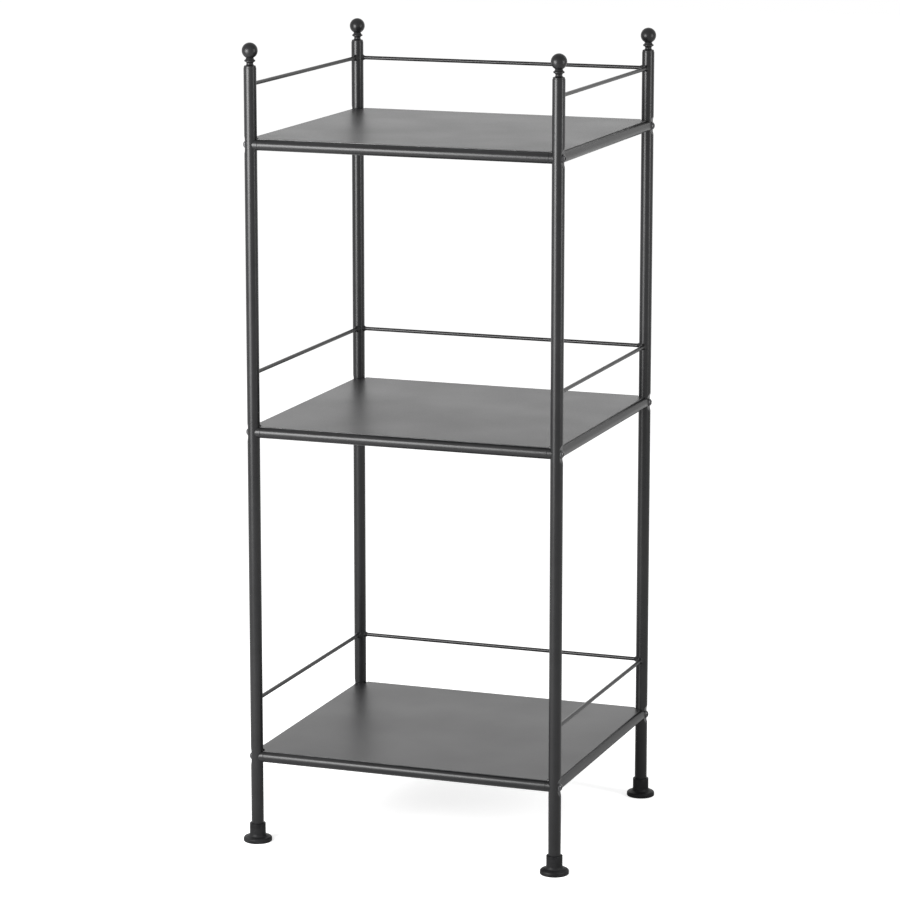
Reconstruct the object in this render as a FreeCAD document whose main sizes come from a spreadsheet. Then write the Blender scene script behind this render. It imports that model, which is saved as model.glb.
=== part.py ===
"""Standing shelf: four round posts, three steel plates on tube frames, gallery rails on three sides.

The shelf stands on the XY plane with +Z up and its open front towards -Y. The origin is the middle
of its footprint on the floor. Lengths are millimetres.
"""
import FreeCAD, Part
import os
import Sketcher

doc = FreeCAD.newDocument("standing_shelf")
sheet = doc.addObject("Spreadsheet::Sheet", "sizes")

# Driving sizes and sizes worked out from them, as name, value and what it measures
SIZES = (
    ("post_spacing_x", "404", "between post axes, left to right"),
    ("post_spacing_y", "364", "between post axes, front to back"),
    ("post_dia", "16", "outside diameter of a post"),
    ("post_wall", "1.2", "wall of a post"),
    ("post_top_z", "999", "top end of a post above the floor"),
    ("low_tube_z", "113", "axis of the bottom shelf's tubes above the floor"),
    ("mid_tube_z", "538", "axis of the middle shelf's tubes above the floor"),
    ("top_drop", "96", "from a post's top end down to the axis of the top shelf's tubes"),
    ("overrun", "2", "how far a cutting tool runs past what it cuts"),
    # Horizontal tubes
    ("tube_dia", "14", "outside diameter of the shelf tubes"),
    ("tube_wall", "1.2", "wall of the shelf tubes"),
    # Shelf plates
    ("plate_sheet", "1", "thickness of a shelf plate"),
    ("plate_overhang", "1.75", "plate edge outside the tube axes"),
    ("plate_notch_gap", "2", "gap between a post and the plate's corner notch"),
    ("plate_edge_round", "0.5", "rounding of the plate's upper edges"),
    # Pressed bolt seats in the posts
    ("press_depth", "2.2", "depth of the pressed seat in a post"),
    ("press_flat", "6.5", "half height of the flat bolt seat"),
    ("press_reach", "14", "half height of the whole hollow"),
    ("press_lead", "0.25", "how far outside the post the hollow's curve runs out"),
    ("head_clearance", "0.6", "room round the bolt head in the side tube's end"),
    # Bolts
    ("bolt_length", "32", "bolt shank below the head"),
    ("bolt_hole_gap", "0.25", "radial gap of the bolt in the post's holes"),
    ("bolt_thread_gap", "0.05", "radial gap of the bolt in the saddle's thread"),
    ("bolt_head_dia", "10.5", "dome head across"),
    ("bolt_head_rise", "3.3", "dome head height"),
    ("bolt_head_rim", "0.6", "straight rim under the dome"),
    ("bolt_crown_dia", "6", "flat on top of the dome"),
    ("bolt_tip_bevel", "0.8", "bevel at the bolt's tip"),
    ("hex_across_corners", "4.6", "hexagon socket across its corners"),
    ("hex_depth", "2.1", "depth of the hexagon socket"),
    # Saddles between tube ends and posts
    ("saddle_collar", "2.8", "saddle that shows between a post and the end of a tube"),
    ("bolt_share", "0.52", "bolt radius as a share of the spigot's"),
    ("spigot_length", "20", "saddle spigot inside the tube"),
    ("spigot_gap", "0.05", "radial gap of the spigot in the tube"),
    ("saddle_relief", "0.2", "gap between a saddle and the side tube beside it"),
    # Gallery rails
    ("rail_rise", "75", "rail axis above the axis of its shelf's tubes"),
    ("rail_dia", "5", "rail diameter"),
    ("collar_dia", "8.8", "flared end of a rail at the post"),
    ("collar_length", "4", "length of the flare outside the post"),
    ("collar_sweep", "5", "radius of the flare's hollow curve"),
    ("pin_dia", "4", "pin at the rail's end"),
    ("pin_gap", "0.05", "radial gap of the pin in the post's hole"),
    ("pin_depth", "3", "how far the pin goes into the post"),
    # Finials
    ("ball_dia", "20", "ball of a finial"),
    ("ball_z", "21", "ball centre above the post's end"),
    ("cap_dia", "15", "foot of the finial on the post's end"),
    ("cap_edge", "1.3", "straight edge of the finial's foot"),
    ("cap_round", "1.2", "rounding above that edge"),
    ("neck_dia", "8.4", "lower neck of the finial"),
    ("neck_z", "4.7", "lower neck above the post's end"),
    ("neck_sweep", "2.6", "radius of the lower neck's hollow"),
    ("bead_dia", "14", "bead under the ball"),
    ("bead_z", "8.4", "middle of the bead above the post's end"),
    ("bead_half", "1.3", "half thickness of the bead"),
    ("throat_dia", "9.2", "neck between bead and ball"),
    ("plug_length", "14", "plug of the finial inside the post"),
    ("plug_gap", "0.3", "radial gap of the plug between its barbs"),
    ("barb_gap", "0.05", "radial gap of the plug's barbs"),
    ("barb_pitch", "4", "height of one barb"),
    # Feet
    ("pad_dia", "36.8", "flange of a foot on the floor"),
    ("pad_bevel", "0.6", "bevel under the flange"),
    ("pad_edge", "3.6", "top of the flange's straight edge above the floor"),
    ("pad_shoulder_z", "6.2", "top of the flange's rounded edge above the floor"),
    ("pad_shoulder_in", "2.8", "how far the rounded edge comes in"),
    ("sleeve_foot_dia", "23.6", "sleeve where it leaves the flange"),
    ("sleeve_foot_z", "7.6", "height at which the sleeve leaves the flange"),
    ("sleeve_dia", "20.8", "sleeve round the post"),
    ("sleeve_waist_z", "11", "height at which the sleeve turns straight"),
    ("foot_height", "24", "top of the sleeve above the floor"),
    ("sleeve_gap", "0.3", "gap between the sleeve and the post"),
    ("socket_floor_z", "8", "floor of the sleeve's socket above the floor"),
    ("stop_gap", "0.3", "gap between the post's end and the socket floor"),
    # Levelling studs
    ("stud_dia", "8", "levelling stud"),
    ("stud_foot_z", "3", "lower end of the stud above the floor"),
    ("stud_rise", "20", "stud above the socket floor"),
    ("stud_bevel", "0.8", "bevel at the stud's tip"),
    ("stud_gap", "0.05", "radial gap of the stud in the insert"),
    ("insert_length", "16", "threaded insert in the post's lower end"),
    ("insert_gap", "0.05", "radial gap of the insert in the post"),
    # Places and radii that follow from the sizes above
    ("post_x", "=post_spacing_x / 2", "post axis from the middle, along X"),
    ("post_y", "=post_spacing_y / 2", "post axis from the middle, along Y"),
    ("post_r", "=post_dia / 2", "post radius"),
    ("post_bore_r", "=post_r - post_wall", "bore radius of a post"),
    ("post_foot_z", "=socket_floor_z + stop_gap", "lower end of a post above the floor"),
    ("post_length", "=post_top_z - post_foot_z", "length of a post"),
    ("top_tube_z", "=post_top_z - top_drop", "axis of the top shelf's tubes above the floor"),
    ("tube_r", "=tube_dia / 2", "radius of the shelf tubes"),
    ("tube_bore_r", "=tube_r - tube_wall", "bore radius of the shelf tubes"),
    ("saddle_end", "=post_r + saddle_collar", "end of a front or back tube from the post axis"),
    ("tube_length", "=post_spacing_x - 2 * saddle_end", "length of a front or back tube"),
    ("spigot_r", "=tube_bore_r - spigot_gap", "radius of the saddle's spigot"),
    ("plate_notch_r", "=post_r + plate_notch_gap", "radius of the plate's corner notches"),
    ("press_face", "=post_r - press_depth", "bolt seat from the post axis"),
    ("press_drop", "=press_depth + press_lead", "whole depth of the hollow's curve"),
    ("press_run", "=press_reach - press_flat", "length of the hollow's curve at each end"),
    ("press_bend_r", "=(press_run ^ 2 + press_drop ^ 2) / (4 * press_drop)", "radius of its bends"),
    ("press_rim", "=post_r + press_lead", "top of the curve from the post axis"),
    ("press_mid_x", "=press_face + press_drop / 2", "where the bends meet, from the post axis"),
    ("press_mid_z", "=press_flat + press_run / 2", "where the bends meet, above the bolt"),
    ("inner_face", "=press_face - post_wall", "inner side of the bolt seat"),
    ("inner_rim", "=press_rim - post_wall", "inner top of the curve"),
    ("inner_mid_x", "=press_mid_x - post_wall * (1 - press_drop / (2 * press_bend_r))",
     "where the inner bends meet, from the post axis"),
    ("inner_mid_z", "=press_mid_z + post_wall * press_run / (2 * press_bend_r)",
     "where the inner bends meet, above the bolt"),
    ("outward_bend_r", "=press_bend_r - post_wall", "inner radius of the bend at the rim"),
    ("inward_bend_r", "=press_bend_r + post_wall", "inner radius of the bend at the seat"),
    ("bolt_r", "=spigot_r * bolt_share", "bolt radius"),
    ("bolt_thread_r", "=bolt_r + bolt_thread_gap", "bolt hole in the saddle"),
    ("bolt_hole_r", "=bolt_r + bolt_hole_gap", "bolt hole in the post"),
    ("bolt_head_r", "=bolt_head_dia / 2", "head radius"),
    ("bolt_crown_r", "=bolt_crown_dia / 2", "radius of the flat crown"),
    ("bolt_tip_r", "=bolt_r - bolt_tip_bevel", "radius at the bolt's tip"),
    ("bolt_dome_r", "=(bolt_head_r ^ 2 + bolt_head_rise ^ 2) / (2 * bolt_head_rise) + bolt_head_rim",
     "radius of the dome"),
    ("head_room_r", "=bolt_head_r + head_clearance", "radius of the room round the head"),
    ("hex_r", "=hex_across_corners / 2", "corner radius of the socket"),
    ("relief_r", "=tube_r + saddle_relief", "radius of the saddle's relief"),
    ("rail_r", "=rail_dia / 2", "rail radius"),
    ("collar_r", "=collar_dia / 2", "radius of the flare"),
    ("collar_root", "=post_r - collar_r / 2", "where the flare's blank begins, from the post axis"),
    ("pin_r", "=pin_dia / 2", "pin radius"),
    ("pin_hole_r", "=pin_r + pin_gap", "pin hole radius"),
    ("pin_end", "=post_r - pin_depth", "tip of the pin from the post axis"),
    ("ball_r", "=ball_dia / 2", "ball radius"),
    ("cap_r", "=cap_dia / 2", "radius of the finial's foot"),
    ("cap_top_z", "=cap_edge + cap_round", "top of the finial's foot"),
    ("cap_top_r", "=cap_r - cap_round", "radius at the top of the finial's foot"),
    ("neck_r", "=neck_dia / 2", "radius of the lower neck"),
    ("bead_r", "=bead_dia / 2", "radius of the bead"),
    ("bead_low_z", "=bead_z - bead_half", "underside of the bead"),
    ("bead_high_z", "=bead_z + bead_half", "top of the bead"),
    ("bead_root_r", "=bead_r - bead_half", "radius where the bead's rounding starts"),
    ("throat_r", "=throat_dia / 2", "radius between bead and ball"),
    ("throat_z", "=ball_z - sqrt(ball_r ^ 2 - throat_r ^ 2)", "where the ball starts"),
    ("ball_top_z", "=ball_z + ball_r", "top of the ball above the post's end"),
    ("plug_r", "=post_bore_r - plug_gap", "radius of the plug"),
    ("barb_r", "=post_bore_r - barb_gap", "radius of the barbs"),
    ("pad_r", "=pad_dia / 2", "radius of the flange"),
    ("pad_sole_r", "=pad_r - pad_bevel", "radius of the flat sole"),
    ("pad_shoulder_r", "=pad_r - pad_shoulder_in", "radius inside the rounded edge"),
    ("sleeve_foot_r", "=sleeve_foot_dia / 2", "sleeve radius at the flange"),
    ("sleeve_r", "=sleeve_dia / 2", "sleeve radius"),
    ("sleeve_bore_r", "=post_r + sleeve_gap", "bore of the sleeve"),
    ("stud_r", "=stud_dia / 2", "stud radius"),
    ("stud_top_z", "=socket_floor_z + stud_rise", "top of the stud"),
    ("stud_tip_r", "=stud_r - stud_bevel", "radius at the stud's tip"),
    ("insert_r", "=post_bore_r - insert_gap", "radius of the insert"),
    ("insert_bore_r", "=stud_r + stud_gap", "bore of the insert"),
)

for row, (name, value, note) in enumerate(SIZES, start=1):
    sheet.set("A%d" % row, name)
    sheet.set("B%d" % row, value)
    sheet.set("C%d" % row, note)
    sheet.setAlias("B%d" % row, name)
doc.recompute()

LEVELS = ("bottom", "middle", "top")
TUBE_Z = {"bottom": "low_tube_z", "middle": "mid_tube_z", "top": "top_tube_z"}
# Corner name, side along X and side along Y
CORNERS = (("front_left", -1, -1), ("front_right", 1, -1), ("back_left", -1, 1), ("back_right", 1, 1))
BARB_COUNT = 3
ALONG_X = FreeCAD.Rotation(FreeCAD.Vector(0, 1, 0), 90)
ALONG_Y = FreeCAD.Rotation(FreeCAD.Vector(1, 0, 0), -90)
UPRIGHT = FreeCAD.Rotation()
HALF_TURN = FreeCAD.Rotation(FreeCAD.Vector(0, 0, 1), 180)
nodes = []


def size(text):
    """Return the value of named sizes added up, such as "post_r + overrun - post_wall"."""
    total, sign = 0.0, 1
    for word in text.split():
        if word in ("+", "-"):
            sign = 1 if word == "+" else -1
        elif word != "0":
            total += sign * float(sheet.get(word))
    return total


def bind(thing, prop, text, side=1):
    """Tie a property to named sizes added up, or to their negative on the other side."""
    terms = " ".join(word if word in ("+", "-", "0") else "sizes." + word for word in text.split())
    thing.setExpression(prop, terms if side > 0 else "-(%s)" % terms)


def place(thing, x="0", y="0", z="0", turn=UPRIGHT, side_x=1, side_y=1):
    """Turn an object and tie its position to named sizes."""
    thing.Placement = FreeCAD.Placement(FreeCAD.Vector(), turn)
    for axis, text, side in (("x", x, side_x), ("y", y, side_y), ("z", z, 1)):
        if text != "0":
            bind(thing, "Placement.Base." + axis, text, side)
    return thing


def keep(thing, label):
    """Name a finished sub-part and list it for export."""
    thing.Label = label
    nodes.append(thing)
    return thing


def rod(label, radius, length, **where):
    """Return a round bar from its end at the given place, along the given turn of +Z."""
    bar = doc.addObject("Part::Cylinder", label)
    bind(bar, "Radius", radius)
    bind(bar, "Height", length)
    return place(bar, **where)


def cut(label, base, tools):
    """Return base with every tool taken away."""
    result = base
    for tool in tools:
        step = doc.addObject("Part::Cut", label + "_step")
        step.Base, step.Tool = result, tool
        result = step
    return result


def fuse(label, pieces):
    """Return overlapping pieces joined into one solid."""
    joined = doc.addObject("Part::MultiFuse", label)
    joined.Shapes = pieces
    return joined


def origin_plane(body, role):
    """Return the body's own origin plane of that role."""
    return next(item for item in body.Origin.OriginFeatures if item.Role == role)


def new_sketch(body, label, role="XZ_Plane"):
    """Return an empty sketch on one of the body's origin planes."""
    sketch = body.newObject("Sketcher::SketchObject", label)
    sketch.AttachmentSupport = (origin_plane(body, role), "")
    sketch.MapMode = "FlatFace"
    return sketch


def pin_point(sketch, edge, end, across, along):
    """Tie one end of a sketch edge to named sizes across and along the sketch's axes."""
    for text, kind, axis in ((across, "DistanceX", -2), (along, "DistanceY", -1)):
        if text == "0":
            sketch.addConstraint(Sketcher.Constraint("PointOnObject", edge, end, axis))
        else:
            number = sketch.addConstraint(Sketcher.Constraint(kind, -1, 1, edge, end, size(text)))
            bind(sketch, "Constraints[%d]" % number, text)


def draw_outline(sketch, outline):
    """Draw a closed outline of straight edges and arcs, tied to named sizes.

    The outline is a list of corners as distance across, distance along and how the edge to the
    next corner runs: None for a straight edge, or a named radius for an arc. An arc bulges to the
    right of the direction of travel with "+" before its radius and to the left with "-", and every
    arc is drawn anticlockwise.
    """
    count = len(outline)
    points = [FreeCAD.Vector(size(across), size(along), 0) for across, along, _ in outline]
    ends = []
    for number, (_, _, bend) in enumerate(outline):
        start = points[number]
        end = points[(number + 1) % count]
        if bend is None:
            sketch.addGeometry(Part.LineSegment(start, end))
        else:
            if bend[0] == "-":
                start, end = end, start
            chord = end - start
            right = FreeCAD.Vector(chord.y, -chord.x, 0).normalize()
            bow = size(bend[1:])
            rise = bow - (bow ** 2 - chord.Length ** 2 / 4) ** 0.5
            sketch.addGeometry(Part.Arc(start, (start + end) / 2 + right * rise, end))
        ends.append((2, 1) if bend is not None and bend[0] == "-" else (1, 2))
    for number, (across, along, bend) in enumerate(outline):
        after = (number + 1) % count
        corner = Sketcher.Constraint("Coincident", number, ends[number][1], after, ends[after][0])
        sketch.addConstraint(corner)
        pin_point(sketch, number, ends[number][0], across, along)
        if bend is not None:
            limit = Sketcher.Constraint("Radius", number, size(bend[1:]))
            bind(sketch, "Constraints[%d]" % sketch.addConstraint(limit), bend[1:])


def turned(label, outline):
    """Return a body turned about its Z axis, its outline given as radius and height."""
    body = doc.addObject("PartDesign::Body", label)
    sketch = new_sketch(body, label + "_outline")
    draw_outline(sketch, outline)
    turning = body.newObject("PartDesign::Revolution", label + "_turned")
    turning.Profile = sketch
    turning.ReferenceAxis = (sketch, ["V_Axis"])
    turning.Angle = 360
    return body


def bore_circles(body, label, role, circles):
    """Cut round holes right through a body, given as radius, across and along on a plane."""
    sketch = new_sketch(body, label, role)
    for number, (radius, across, side_across, along, side_along) in enumerate(circles):
        centre = FreeCAD.Vector(side_across * size(across), side_along * size(along), 0)
        sketch.addGeometry(Part.Circle(centre, FreeCAD.Vector(0, 0, 1), size(radius)))
        limit = Sketcher.Constraint("Radius", number, size(radius))
        bind(sketch, "Constraints[%d]" % sketch.addConstraint(limit), radius)
        for text, side, kind, axis in ((across, side_across, "DistanceX", -2),
                                       (along, side_along, "DistanceY", -1)):
            if text == "0":
                sketch.addConstraint(Sketcher.Constraint("PointOnObject", number, 3, axis))
            else:
                value = side * size(text)
                entry = sketch.addConstraint(Sketcher.Constraint(kind, -1, 1, number, 3, value))
                bind(sketch, "Constraints[%d]" % entry, text, side)
    pocket = body.newObject("PartDesign::Pocket", label + "_cut")
    pocket.Profile = sketch
    pocket.Type = "ThroughAll"
    pocket.SideType = "Symmetric"
    return pocket


def press(label, side_x, height, face, rim, mid_x, mid_z, seat_bend, rim_bend):
    """Make the block that presses one bolt seat: flat in the middle, an easy S-curve at each end."""
    body = doc.addObject("PartDesign::Body", label)
    outline = new_sketch(body, label + "_outline")
    draw_outline(outline, [
        (face, "0 - press_flat", None),
        (face, "press_flat", "-" + seat_bend),
        (mid_x, mid_z, "+" + rim_bend),
        (rim, "press_reach", None),
        (rim + " + overrun", "press_reach", None),
        (rim + " + overrun", "0 - press_reach", None),
        (rim, "0 - press_reach", "+" + rim_bend),
        (mid_x, "0 - " + mid_z, "-" + seat_bend),
    ])
    block = body.newObject("PartDesign::Pad", label + "_block")
    block.Profile = outline
    block.SideType = "Symmetric"
    bind(block, "Length", "post_dia + overrun")
    return place(body, z=height, turn=UPRIGHT if side_x > 0 else HALF_TURN)


def post(corner, side_x, side_y):
    """Make a post: a tube with a bolt seat pressed into its outer side at each shelf.

    The outer skin and the bore carry the same hollow one wall apart, as the pressed wall does.
    """
    skin_presses = []
    bore_presses = []
    holes = []
    for level in LEVELS:
        tube_z = TUBE_Z[level]
        rail_z = tube_z + " + rail_rise"
        skin_presses.append(press(corner + "_skin_press", side_x, tube_z, "press_face", "press_rim",
                                  "press_mid_x", "press_mid_z", "press_bend_r", "press_bend_r"))
        bore_presses.append(press(corner + "_bore_press", side_x, tube_z, "inner_face", "inner_rim",
                                  "inner_mid_x", "inner_mid_z", "inward_bend_r", "outward_bend_r"))
        holes.append(rod(corner + "_bolt_hole", "bolt_hole_r", "post_dia + overrun + overrun",
                         x="post_r + overrun", z=tube_z, turn=ALONG_X, side_x=-1))
        inward_y = ALONG_Y if side_y < 0 else ALONG_Y.inverted()
        holes.append(rod(corner + "_side_rail_hole", "pin_hole_r", "post_r + overrun",
                         z=rail_z, turn=inward_y))
        if side_y > 0:
            inward_x = ALONG_X if side_x < 0 else ALONG_X.inverted()
            holes.append(rod(corner + "_back_rail_hole", "pin_hole_r", "post_r + overrun",
                             z=rail_z, turn=inward_x))
    skin = rod(corner + "_skin", "post_r", "post_length", z="post_foot_z")
    bore = rod(corner + "_bore", "post_bore_r", "post_length + overrun + overrun",
               z="post_foot_z - overrun")
    skin = cut(corner + "_skin", skin, skin_presses)
    bore = cut(corner + "_bore", bore, bore_presses)
    body = cut(corner + "_post", skin, [bore] + holes)
    place(body, x="post_x", y="post_y", side_x=side_x, side_y=side_y)
    return keep(body, corner + "_post")


def finial(corner, side_x, side_y):
    """Make a finial: a ball on a beaded neck, with a barbed plug that pushes into the post."""
    outline = [("0", "0 - plug_length", None), ("plug_r", "0 - plug_length", None)]
    barb_foot = "0 - plug_length"
    for _ in range(BARB_COUNT):
        barb_top = barb_foot + " + barb_pitch"
        outline += [("barb_r", barb_top, None), ("plug_r", barb_top, None)]
        barb_foot = barb_top
    outline += [
        ("plug_r", "0", None),
        ("cap_r", "0", None),
        ("cap_r", "cap_edge", "+cap_round"),
        ("cap_top_r", "cap_top_z", "-neck_sweep"),
        ("neck_r", "neck_z", "-neck_sweep"),
        ("bead_root_r", "bead_low_z", "+bead_half"),
        ("bead_r", "bead_z", "+bead_half"),
        ("bead_root_r", "bead_high_z", None),
        ("throat_r", "throat_z", "+ball_r"),
        ("ball_r", "ball_z", "+ball_r"),
        ("0", "ball_top_z", None),
    ]
    body = turned(corner + "_finial", outline)
    place(body, x="post_x", y="post_y", z="post_top_z", side_x=side_x, side_y=side_y)
    return keep(body, corner + "_finial")


def foot(corner, side_x, side_y):
    """Make a foot: a domed flange with a sleeve that hides the lower end of the post."""
    body = turned(corner + "_foot", [
        ("0", "0", None),
        ("pad_sole_r", "0", None),
        ("pad_r", "pad_bevel", None),
        ("pad_r", "pad_edge", "+pad_shoulder_in"),
        ("pad_shoulder_r", "pad_shoulder_z", None),
        ("sleeve_foot_r", "sleeve_foot_z", None),
        ("sleeve_r", "sleeve_waist_z", None),
        ("sleeve_r", "foot_height - pad_bevel", None),
        ("sleeve_r - pad_bevel", "foot_height", None),
        ("sleeve_bore_r", "foot_height", None),
        ("sleeve_bore_r", "socket_floor_z", None),
        ("stud_r", "socket_floor_z", None),
        ("stud_r", "stud_foot_z", None),
        ("0", "stud_foot_z", None),
    ])
    place(body, x="post_x", y="post_y", side_x=side_x, side_y=side_y)
    return keep(body, corner + "_foot")


def foot_stud(corner, side_x, side_y):
    """Make the levelling stud that is moulded into the foot."""
    body = turned(corner + "_foot_stud", [
        ("0", "stud_foot_z", None),
        ("stud_r", "stud_foot_z", None),
        ("stud_r", "stud_top_z - stud_bevel", None),
        ("stud_tip_r", "stud_top_z", None),
        ("0", "stud_top_z", None),
    ])
    place(body, x="post_x", y="post_y", side_x=side_x, side_y=side_y)
    return keep(body, corner + "_foot_stud")


def foot_insert(corner, side_x, side_y):
    """Make the threaded insert in the lower end of the post, which the stud turns in."""
    body = turned(corner + "_foot_insert", [
        ("insert_bore_r + stud_bevel", "0", None),
        ("insert_r", "0", None),
        ("insert_r", "insert_length", None),
        ("insert_bore_r", "insert_length", None),
        ("insert_bore_r", "stud_bevel", None),
    ])
    place(body, x="post_x", y="post_y", z="post_foot_z", side_x=side_x, side_y=side_y)
    return keep(body, corner + "_foot_insert")


def cross_tube(level, end, side_y):
    """Make a front or back tube, cut square at both ends."""
    label = "%s_%s_tube" % (level, end)
    skin = rod(label + "_skin", "tube_r", "tube_length", x="post_x - saddle_end",
               turn=ALONG_X, side_x=-1)
    bore = rod(label + "_bore", "tube_bore_r", "tube_length + overrun + overrun",
               x="post_x - saddle_end + overrun", turn=ALONG_X, side_x=-1)
    tube = cut(label, skin, [bore])
    place(tube, y="post_y", z=TUBE_Z[level], side_y=side_y)
    return keep(tube, label)


def side_tubes(level):
    """Make the left side tube, coped at both ends to lie round the posts, and its mirror image.

    The outer lip of each end is hollowed round the bolt head beside it.
    """
    label = level + "_left_side_tube"
    skin = rod(label + "_skin", "tube_r", "post_spacing_y", y="post_y", turn=ALONG_Y, side_y=-1)
    bore = rod(label + "_bore", "tube_bore_r", "post_spacing_y + overrun + overrun",
               y="post_y + overrun", turn=ALONG_Y, side_y=-1)
    tools = [bore]
    for side_y in (-1, 1):
        tools.append(rod(label + "_cope", "post_r", "tube_dia + overrun + overrun",
                         y="post_y", z="0 - tube_r - overrun", side_y=side_y))
        tools.append(rod(label + "_head_room", "head_room_r", "post_r", x="press_face", y="post_y",
                         turn=ALONG_X.inverted(), side_x=-1, side_y=side_y))
    left = cut(label, skin, tools)
    place(left, x="post_x", z=TUBE_Z[level], side_x=-1)
    right = doc.addObject("Part::Mirroring", level + "_right_side_tube")
    right.Source = left
    right.Normal = FreeCAD.Vector(1, 0, 0)
    keep(left, label)
    keep(right, level + "_right_side_tube")


def saddles(level, end, side_y):
    """Make the pair of saddles of a front or back tube.

    Each is a plug in the tube's end, coped to the post on its other end and relieved where the
    side tube lies beside it. The bolt screws into it.
    """
    label = "%s_%s_saddles" % (level, end)
    head = rod(label + "_head", "tube_r", "saddle_end", turn=ALONG_X.inverted())
    spigot = rod(label + "_spigot", "spigot_r", "saddle_end + spigot_length", turn=ALONG_X.inverted())
    blank = fuse(label + "_blank", [head, spigot])
    cope = rod(label + "_cope", "post_r", "tube_dia + overrun + overrun", z="0 - tube_r - overrun")
    relief = rod(label + "_relief", "relief_r", "post_r + tube_r",
                 turn=ALONG_Y if side_y < 0 else ALONG_Y.inverted())
    thread = rod(label + "_thread", "bolt_thread_r", "saddle_end + spigot_length + overrun",
                 turn=ALONG_X.inverted())
    right = cut(label + "_right", blank, [cope, relief, thread])
    place(right, x="post_x", y="post_y", z=TUBE_Z[level], side_y=side_y)
    return keep(mirrored_pair(label, right, FreeCAD.Vector(1, 0, 0)), label)


def mirrored_pair(label, thing, normal):
    """Return a group of an object and its mirror image across the middle plane."""
    image = doc.addObject("Part::Mirroring", label + "_image")
    image.Source, image.Normal = thing, normal
    group = doc.addObject("Part::Compound", label)
    group.Links = [thing, image]
    return group


def bolts(level):
    """Make a shelf's four dome-headed bolts with hexagon sockets."""
    label = level + "_bolts"
    bolt = turned(label + "_one", [
        ("0", "0 - bolt_length", None),
        ("bolt_tip_r", "0 - bolt_length", None),
        ("bolt_r", "0 - bolt_length + bolt_tip_bevel", None),
        ("bolt_r", "0", None),
        ("bolt_head_r", "0", None),
        ("bolt_head_r", "bolt_head_rim", "+bolt_dome_r"),
        ("bolt_crown_r", "bolt_head_rise", None),
        ("0", "bolt_head_rise", None),
    ])
    socket = bolt.newObject("PartDesign::SubtractivePrism", label + "_socket")
    socket.Polygon = 6
    bind(socket, "Circumradius", "hex_r")
    bind(socket, "Height", "hex_depth + overrun")
    bind(socket, "Placement.Base.z", "bolt_head_rise - hex_depth")
    place(bolt, x="post_x + press_face", y="post_y", z=TUBE_Z[level], turn=ALONG_X, side_y=-1)
    front = mirrored_pair(label + "_front", bolt, FreeCAD.Vector(1, 0, 0))
    return keep(mirrored_pair(label, front, FreeCAD.Vector(0, 1, 0)), label)


def shelf_plate(level):
    """Make a shelf plate, notched round the posts, that lies on the four tubes."""
    label = level + "_shelf_plate"
    body = doc.addObject("PartDesign::Body", label)
    outline = new_sketch(body, label + "_outline", "XY_Plane")
    corners = ((-1, -1), (1, -1), (1, 1), (-1, 1))
    reach_x, reach_y = "post_x + plate_overhang", "post_y + plate_overhang"
    points = [FreeCAD.Vector(a * size(reach_x), b * size(reach_y), 0) for a, b in corners]
    for number, point in enumerate(points):
        outline.addGeometry(Part.LineSegment(point, points[(number + 1) % len(points)]))
    for number, (a, b) in enumerate(corners):
        after = (number + 1) % len(corners)
        outline.addConstraint(Sketcher.Constraint("Coincident", number, 2, after, 1))
        for text, side, kind in ((reach_x, a, "DistanceX"), (reach_y, b, "DistanceY")):
            value = side * size(text)
            entry = outline.addConstraint(Sketcher.Constraint(kind, -1, 1, number, 1, value))
            bind(outline, "Constraints[%d]" % entry, text, side)
    sheet_pad = body.newObject("PartDesign::Pad", label + "_sheet")
    sheet_pad.Profile = outline
    bind(sheet_pad, "Length", "plate_sheet")
    notches = [("plate_notch_r", "post_x", a, "post_y", b) for a, b in corners]
    notched = bore_circles(body, label + "_notches", "XY_Plane", notches)
    doc.recompute()
    edges = []
    for number, edge in enumerate(notched.Shape.Edges, start=1):
        if edge.BoundBox.ZMin > size("plate_sheet") / 2:
            edges.append("Edge%d" % number)
    rounding = body.newObject("PartDesign::Fillet", label + "_rounding")
    rounding.Base = (notched, edges)
    bind(rounding, "Radius", "plate_edge_round")
    place(body, z=TUBE_Z[level] + " + tube_r")
    return keep(body, label)


def rail(label, level, span, turn, side_plane, **where):
    """Make a gallery rail: a rod with a flare and a pin at each end.

    The flares are hollow curves, coped to lie on the round posts, and the pins enter their holes.
    """
    flare = "post_r + collar_length"
    body = turned(label, [
        ("0", "collar_root", None),
        ("collar_r", "collar_root", None),
        ("collar_r", "post_r", "-collar_sweep"),
        ("rail_r", flare, None),
        ("rail_r", span + " - post_r - collar_length", "-collar_sweep"),
        ("collar_r", span + " - post_r", None),
        ("collar_r", span + " - collar_root", None),
        ("0", span + " - collar_root", None),
    ])
    bore_circles(body, label + "_copes", side_plane,
                 [("post_r", "0", 1, "0", 1), ("post_r", "0", 1, span, 1)])
    for place_z, number in (("pin_end", 1), (span + " - post_r - collar_length", 2)):
        pin = body.newObject("PartDesign::AdditiveCylinder", "%s_pin_%d" % (label, number))
        bind(pin, "Radius", "pin_r")
        bind(pin, "Height", "post_r + collar_length - pin_end")
        bind(pin, "Placement.Base.z", place_z)
    place(body, z=TUBE_Z[level] + " + rail_rise", turn=turn, **where)
    return keep(body, label)


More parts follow.
